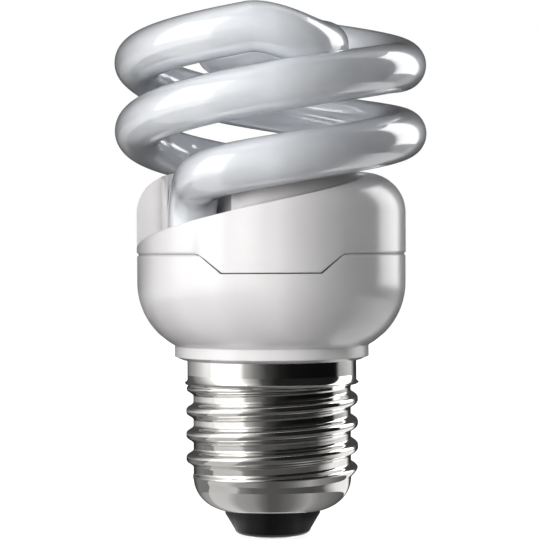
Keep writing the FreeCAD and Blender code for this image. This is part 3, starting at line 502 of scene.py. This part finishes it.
def sweepTree():
    tree, size, result = newTree("sweepTube", {
        "Radius": "NodeSocketFloat", "Sides": "NodeSocketInt", "Step": "NodeSocketFloat",
        "Material": "NodeSocketMaterial"})
    path = addNode(tree, "GeometryNodeResampleCurve", {
        "Curve": size["Geometry"], "Length": size["Step"]}, mode="LENGTH")
    ring = addNode(tree, "GeometryNodeCurvePrimitiveCircle", {
        "Resolution": size["Sides"], "Radius": size["Radius"]}, mode="RADIUS")
    skin = addNode(tree, "GeometryNodeCurveToMesh", {
        "Curve": path.outputs[0], "Profile Curve": ring.outputs[0], "Fill Caps": True})
    return closeTree(tree, skin.outputs[0], size["Material"], result)


def pathObject(name, points):
    data = bpy.data.curves.new(name, "CURVE")
    data.dimensions = "3D"
    line = data.splines.new("POLY")
    line.points.add(len(points) - 1)
    for mark, point in zip(line.points, points):
        mark.co = (*(point * mm), 1.0)
    item = bpy.data.objects.new(name, data)
    bpy.context.scene.collection.objects.link(item)
    return item


def makeTube():
    front, back = armPoints(0.0), armPoints(180.0)
    path = pathObject("tubePath", front + [bridgePoint(1.0, 0.0)] + back[::-1])
    mesh = runTree(path, sweepTree(), {
        "Radius": tube["radius"] * mm, "Sides": tube["sides"], "Step": tube["step"] * mm,
        "Material": materials["phosphor_glass"]})
    bpy.data.objects.remove(path)
    smoothByAngle(mesh, tube["smoothAngle"])
    finishPiece(meshObject("dischargeTube", mesh), "discharge_tube")


makeTube()
print("discharge tube ready")


# Screw cap: a lathed shell whose wall Geometry Nodes wave into the rolled thread
cap = {
    # mm and degrees
    "wall": 0.4,
    "bandRadius": 13.0,
    "bandLevels": (27.2, 26.0, 25.0, 24.0),
    "bandBottom": 23.5,
    "bandLip": ((0.05, 0.15), (0.22, -0.02)),  # inwards of the band, above its bottom
    "rootLip": (0.1, -0.1),  # outwards of the root, above the band's bottom
    "threadTop": 23.3,
    "threadRows": 130,
    "rootRadius": 12.1,
    "crestRadius": 13.2,
    "rootShare": -0.75,  # level of the wave, -1 to 1, below which the wall stays flat
    "pitch": 3.629,
    "crestHeight": 17.45,  # of a crest at bearing 0
    "threadLow": 8.6,
    "lowFade": 2.2,
    "threadHigh": 22.2,
    "highFade": 1.8,
    "shoulderHeight": 9.0,
    "shoulderDrop": 4.9,
    "shoulderWidth": 5.5,
    "shoulderRows": 24,
    "mouthAngle": 78.5,
    "mouthDrop": 2.0,  # this far below the shoulder, the inside is raised by the wall
    "sides": 256,
    "smoothAngle": 55,
}


# The wall's section, outside downwards and inside back up, as (radius, height)
def capProfile():
    outer = [(cap["bandRadius"], level) for level in cap["bandLevels"]]
    outer += [(cap["bandRadius"] - inset, cap["bandBottom"] + rise)
              for inset, rise in cap["bandLip"]]
    outer.append((cap["rootRadius"] + cap["rootLip"][0], cap["bandBottom"] + cap["rootLip"][1]))
    for row in range(cap["threadRows"] + 1):
        fall = (cap["threadTop"] - cap["shoulderHeight"]) * row / cap["threadRows"]
        outer.append((cap["rootRadius"], cap["threadTop"] - fall))
    middle = cap["rootRadius"] - cap["shoulderWidth"]
    for row in range(1, cap["shoulderRows"] + 1):
        slope = math.radians(cap["mouthAngle"]) * row / cap["shoulderRows"]
        outer.append((middle + cap["shoulderWidth"] * math.cos(slope),
                      cap["shoulderHeight"] - cap["shoulderDrop"] * math.sin(slope)))
    flatBelow = cap["shoulderHeight"] - cap["mouthDrop"]
    inner = [(radius - cap["wall"], height + (cap["wall"] if height < flatBelow else 0))
             for radius, height in reversed(outer)]
    return outer + inner


# A closed section turned round the lamp's axis
def latheMesh(name, profile, sides):
    work = bmesh.new()
    rings = []
    for radius, height in profile:
        spots = [onCircle(radius, 360 * side / sides, height) * mm for side in range(sides)]
        rings.append([work.verts.new(spot) for spot in spots])
    for first, second in zip(rings, rings[1:] + rings[:1]):
        for side in range(sides):
            after = (side + 1) % sides
            work.faces.new((first[side], first[after], second[after], second[side]))
    bmesh.ops.recalc_face_normals(work, faces=work.faces)
    mesh = bpy.data.meshes.new(name)
    work.to_mesh(mesh)
    work.free()
    return mesh


def threadTree():
    sizes = dict.fromkeys(("Pitch", "Depth", "Root Share", "Crest Height", "Low", "Low Fade",
                           "High", "High Fade"), "NodeSocketFloat")
    sizes["Material"] = "NodeSocketMaterial"
    tree, size, result = newTree("rollThread", sizes)
    position = addNode(tree, "GeometryNodeInputPosition").outputs[0]
    axes = addNode(tree, "ShaderNodeSeparateXYZ", {0: position}).outputs
    turn = calc(tree, "ARCTAN2", axes["Y"], axes["X"])
    height = axes["Z"]

    def ease(value, start, end):
        return addNode(tree, "ShaderNodeMapRange", {
            "Value": value, "From Min": start, "From Max": end},
            interpolation_type="SMOOTHSTEP").outputs["Result"]

    highEnd = calc(tree, "ADD", size["High"], size["High Fade"])
    low = ease(height, size["Low"], calc(tree, "ADD", size["Low"], size["Low Fade"]))
    high = calc(tree, "SUBTRACT", 1.0, ease(height, size["High"], highEnd))
    rise = calc(tree, "DIVIDE", calc(tree, "SUBTRACT", height, size["Crest Height"]), size["Pitch"])
    phase = calc(tree, "SUBTRACT", calc(tree, "MULTIPLY", rise, 2 * math.pi), turn)
    wave = calc(tree, "MULTIPLY", calc(tree, "COSINE", phase), high)
    below = calc(tree, "LESS_THAN", height, highEnd)
    crest = ease(wave, size["Root Share"], 1.0)
    swell = calc(tree, "MULTIPLY", crest, calc(tree, "MULTIPLY", low, below))
    push = calc(tree, "MULTIPLY", swell, size["Depth"])
    away = addNode(tree, "ShaderNodeCombineXYZ", {
        "X": calc(tree, "COSINE", turn), "Y": calc(tree, "SINE", turn)}).outputs[0]
    offset = addNode(tree, "ShaderNodeVectorMath", {0: away, "Scale": push}, operation="SCALE")
    moved = addNode(tree, "GeometryNodeSetPosition", {
        "Geometry": size["Geometry"], "Offset": offset.outputs[0]})
    return closeTree(tree, moved.outputs[0], size["Material"], result)


def makeCap():
    blank = meshObject("capBlank", latheMesh("capBlank", capProfile(), cap["sides"]))
    mesh = runTree(blank, threadTree(), {
        "Pitch": cap["pitch"] * mm, "Depth": (cap["crestRadius"] - cap["rootRadius"]) * mm,
        "Root Share": cap["rootShare"], "Crest Height": cap["crestHeight"] * mm,
        "Low": cap["threadLow"] * mm, "Low Fade": cap["lowFade"] * mm,
        "High": cap["threadHigh"] * mm, "High Fade": cap["highFade"] * mm,
        "Material": materials["cap_metal"]})
    bpy.data.objects.remove(blank)
    smoothByAngle(mesh, cap["smoothAngle"])
    finishPiece(meshObject("capShell", mesh), "cap_shell")


makeCap()
print("screw cap ready")


# Moulded and pressed pieces: merged copies of the solids with soft shading
copies = {
    # CAD node: name, angle up to which faces shade as one
    "upper_cover": ("upperCover", 32),
    "lower_housing": ("lowerHousing", 32),
    "cap_insulator": ("capInsulator", 40),
    "centre_contact": ("centreContact", 40),
}
mergeGap = 0.002  # mm


# Bearing of a face's middle, halfway between its outermost corners
def middleBearing(corners):
    first = math.atan2(corners[0].y, corners[0].x)
    turns = [(math.atan2(corner.y, corner.x) - first + math.pi) % (2 * math.pi) - math.pi
             for corner in corners]
    return first + (min(turns) + max(turns)) / 2


def turnFrame(direction, turn):
    cosine, sine = math.cos(turn), math.sin(turn)
    return Vector((direction.x * cosine + direction.y * sine,
                   direction.y * cosine - direction.x * sine, direction.z))


# Shading normals: faces that turn round the lamp's axis are averaged in a frame that turns too
def roundNormals(mesh, angle):
    limit = math.cos(math.radians(angle))
    flat, turned, around = [], [], [[] for vertex in mesh.vertices]
    for face in mesh.polygons:
        corners = [mesh.vertices[index].co for index in face.vertices]
        flat.append(face.normal.copy())
        turned.append(turnFrame(face.normal, middleBearing(corners)))
        count = len(corners)
        for place, index in enumerate(face.vertices):
            before = corners[place - 1] - corners[place]
            after = corners[(place + 1) % count] - corners[place]
            around[index].append((face.index, before.angle(after, 0.0)))
    normals = []
    for face in mesh.polygons:
        own, ownTurned = flat[face.index], turned[face.index]
        for index in face.vertices:
            plain, curved = Vector(), Vector()
            plainSpread = roundSpread = 0.0
            for other, width in around[index]:
                if flat[other].dot(own) < limit:
                    continue
                plain += flat[other] * width
                curved += turned[other] * width
                plainSpread += (flat[other] - own).length * width
                roundSpread += (turned[other] - ownTurned).length * width
            if roundSpread < plainSpread:
                spot = mesh.vertices[index].co
                plain = turnFrame(curved, -math.atan2(spot.y, spot.x))
            normals.append(plain.normalized())
    mesh.shade_smooth()
    mesh.normals_split_custom_set(normals)


# Across the tabs the cover's wall runs on without the seam's groove, in mm
tabFace = {"height": 43.3, "radius": 20.65, "groove": 0.3, "halfWidth": 10.45, "slack": 0.01}


def fillGroove(work):
    bottom = tabFace["radius"] - tabFace["groove"]
    for vertex in work.verts:
        spot = vertex.co / mm
        level = abs(spot.z - tabFace["height"]) < tabFace["slack"]
        deep = abs(math.hypot(spot.x, spot.y) - bottom) < tabFace["slack"]
        if level and deep and abs(spot.x) < tabFace["halfWidth"]:
            vertex.co.x *= tabFace["radius"] / bottom
            vertex.co.y *= tabFace["radius"] / bottom


def smoothCopy(nodeName, pieceName, angle):
    work = bmesh.new()
    work.from_mesh(nodes[nodeName].data)
    bmesh.ops.remove_doubles(work, verts=work.verts, dist=mergeGap * mm)
    if nodeName == "upper_cover":
        fillGroove(work)
    mesh = bpy.data.meshes.new(pieceName)
    work.to_mesh(mesh)
    work.free()
    roundNormals(mesh, angle)
    finishPiece(meshObject(pieceName, mesh), nodeName)


for nodeName, (pieceName, angle) in copies.items():
    smoothCopy(nodeName, pieceName, angle)
print("moulded pieces ready")


# Studio: pale floor and white surroundings, in m
studio = {
    "floorSize": 6.0,
    "floorColour": 0.3,
    "floorRoughness": 0.9,
    "glow": (0.90, 1.02),  # under the lamp, where its shadow lies, and far from it
    "glowReach": (0.05, 0.35),
    "fill": 0.04,  # strength of the surroundings as light
}


def seenOrReflected(tree):
    light = addNode(tree, "ShaderNodeLightPath").outputs
    seen = calc(tree, "MAXIMUM", light["Is Camera Ray"], light["Is Glossy Ray"])
    return calc(tree, "MAXIMUM", seen, light["Is Transmission Ray"])


def makeSurroundings():
    world = bpy.data.worlds.new("surroundings")
    world.use_nodes = True
    tree = world.node_tree
    tree.nodes.clear()
    strengths = {"Factor": seenOrReflected(tree), 2: studio["fill"], 3: 1.0}
    share = addNode(tree, "ShaderNodeMix", strengths).outputs[0]
    glow = addNode(tree, "ShaderNodeBackground", {"Color": (1, 1, 1, 1), "Strength": share})
    output = addNode(tree, "ShaderNodeOutputWorld")
    tree.links.new(glow.outputs[0], output.inputs["Surface"])
    bpy.context.scene.world = world


def makeFloor():
    half = studio["floorSize"] / 2
    mesh = bpy.data.meshes.new("floor")
    mesh.from_pydata([(-half, -half, 0), (half, -half, 0), (half, half, 0), (-half, half, 0)],
                     [], [(0, 1, 2, 3)])
    floor = meshObject("floor", mesh)
    material, tree, shader, place = newMaterial("floorPaper")
    pale = studio["floorColour"]
    shader.inputs["Base Color"].default_value = (pale, pale, pale, 1.0)
    shader.inputs["Roughness"].default_value = studio["floorRoughness"]
    shader.inputs["Specular IOR Level"].default_value = 0.0
    shader.inputs["Emission Color"].default_value = (1, 1, 1, 1)
    away = addNode(tree, "ShaderNodeVectorMath", {0: place}, operation="LENGTH")
    level = ramp(tree, away.outputs["Value"], studio["glowReach"], studio["glow"])
    tree.links.new(calc(tree, "MULTIPLY", seenOrReflected(tree), level),
                   shader.inputs["Emission Strength"])
    mesh.materials.append(material)


# Soft panels, all aimed at the middle of the lamp
panels = {
    # name: bearing, distance, middle height, width, height in m, power in W, colour
    "keyPanel": (250.0, 0.60, 0.16, 0.22, 0.50, 3.85, (1.0, 0.995, 0.985)),
    "stripPanel": (52.0, 0.50, 0.20, 0.20, 0.60, 1.1, (1.0, 1.0, 1.0)),
    "topPanel": (250.0, 0.12, 0.60, 0.50, 0.40, 0.5, (0.96, 0.98, 1.0)),
    "backPanel": (95.0, 0.60, 0.25, 0.50, 0.50, 3.6, (1.0, 1.0, 1.0)),
}
aimHeight = 0.045


def makePanels():
    for name, (bearing, distance, height, width, tall, power, colour) in panels.items():
        data = bpy.data.lights.new(name, "AREA")
        data.shape = "RECTANGLE"
        data.size, data.size_y = width, tall
        data.energy = power
        data.color = colour
        item = bpy.data.objects.new(name, data)
        item.location = onCircle(distance, bearing, height)
        aim = Vector((0, 0, aimHeight)) - item.location
        item.rotation_euler = aim.to_track_quat("-Z", "Y").to_euler()
        item.visible_camera = False
        item.visible_glossy = False
        bpy.context.scene.collection.objects.link(item)


# Flags that narrow the key to a soft slit, in mm
flags = {
    "bearing": 250.0,
    "distance": 45.0,
    "edges": {  # left, right, bottom, top
        "leftFlag": (-60.0, -17.2, 16.0, 60.0),
        "rightFlag": (12.2, 70.0, 0.0, 130.0),
    },
}


def makeFlags():
    for name, (left, right, bottom, top) in flags["edges"].items():
        spots = []
        for height in (bottom, top):
            for side in (left, right):
                spot = onCircle(flags["distance"], flags["bearing"], height)
                spots.append((spot + onCircle(side, flags["bearing"] + 90)) * mm)
        mesh = bpy.data.meshes.new(name)
        mesh.from_pydata(spots, [], [(0, 1, 3, 2)])
        card = meshObject(name, mesh)
        card.visible_camera = False
        card.visible_glossy = False


# Dome of cards that only reflections see
domeCards = {
    # name: both edges as (radius, height) in m, strength, brightness by bearing from 0 to 360
    "domeWall": ((0.62, 0.0006), (0.62, 0.70), 3.0, {
        0: 0.004, 10: 0.01, 16: 0.95, 42: 1.05, 50: 0.05, 62: 0.02, 100: 0.02, 134: 0.04,
        155: 0.15, 175: 0.35, 200: 0.7, 226: 0.9, 230: 0.38, 240: 0.2, 256: 0.03, 275: 0.006}),
    "domeTop": ((0.62, 0.70), (0.002, 0.95), 1.0, {
        0: 0.02, 15: 0.4, 46: 0.5, 60: 0.1, 90: 0.08, 134: 0.2, 155: 0.5, 170: 0.8, 226: 0.8,
        230: 0.4, 262: 0.05, 280: 0.01}),
    "domeFloor": ((0.15, 0.0006), (0.62, 0.0006), 1.3, {
        0: 0.003, 6: 0.01, 12: 0.29, 43: 0.53, 56: 0.03, 100: 0.03, 143: 0.37, 172: 0.84,
        190: 1.0, 228: 1.0, 233: 0.45, 247: 0.18, 263: 0.047, 279: 0.0128, 295: 0.0047,
        330: 0.0027}),
    "domeNear": ((0.022, 0.0006), (0.15, 0.0006), 1.1, {
        0: 0.9, 12: 1.0, 40: 1.0, 52: 0.03, 120: 0.03, 150: 0.2, 180: 0.6, 226: 0.6, 231: 0.25,
        247: 0.12, 263: 0.10, 318: 0.07, 335: 0.10, 348: 0.5}),
    "domeFoot": ((0.006, 0.0006), (0.022, 0.0006), 0.7, {
        0: 0.25, 60: 0.04, 120: 0.06, 170: 0.6, 214: 1.0, 228: 0.6, 248: 0.45, 258: 0.25,
        266: 0.15, 275: 0.15, 284: 0.2, 293: 0.26, 303: 0.42, 314: 0.6, 328: 0.4}),
}
domeSteps = 96


def cardMaterial(name, strength, tones):
    material = bpy.data.materials.new(name)
    material.use_nodes = True
    tree = material.node_tree
    tree.nodes.clear()
    place = addNode(tree, "ShaderNodeTexCoord").outputs["Object"]
    axes = addNode(tree, "ShaderNodeSeparateXYZ", {0: place}).outputs
    turn = calc(tree, "ARCTAN2", axes["Y"], axes["X"])  # from -180 to 180 degrees
    share = calc(tree, "ADD", calc(tree, "MULTIPLY", turn, 0.5 / math.pi), 0.5)
    tone = addNode(tree, "ShaderNodeValToRGB", {0: share})
    stops = sorted(((bearing + 180) % 360 / 360, value) for bearing, value in tones.items())
    marks = tone.color_ramp.elements
    while len(marks) < len(stops):
        marks.new(0.5)
    for mark, (position, value) in zip(marks, stops):
        mark.position = position
        mark.color = (value, value, value, 1.0)
    glow = addNode(tree, "ShaderNodeEmission", {"Color": tone.outputs[0], "Strength": strength})
    output = addNode(tree, "ShaderNodeOutputMaterial")
    tree.links.new(glow.outputs[0], output.inputs["Surface"])
    return material


def makeDome():
    for name, (near, far, strength, tones) in domeCards.items():
        spots, faces = [], []
        for step in range(domeSteps):
            bearing = 360 * step / domeSteps
            spots += [onCircle(near[0], bearing, near[1]), onCircle(far[0], bearing, far[1])]
            low, high = 2 * step, 2 * ((step + 1) % domeSteps)
            faces.append((low, high, high + 1, low + 1))
        mesh = bpy.data.meshes.new(name)
        mesh.from_pydata(spots, [], faces)
        mesh.materials.append(cardMaterial(name, strength, tones))
        card = meshObject(name, mesh)
        card.visible_camera = False
        card.visible_diffuse = False
        card.visible_transmission = False
        card.visible_shadow = False


makeSurroundings()
makeFloor()
makePanels()
makeFlags()
makeDome()
print("studio ready")
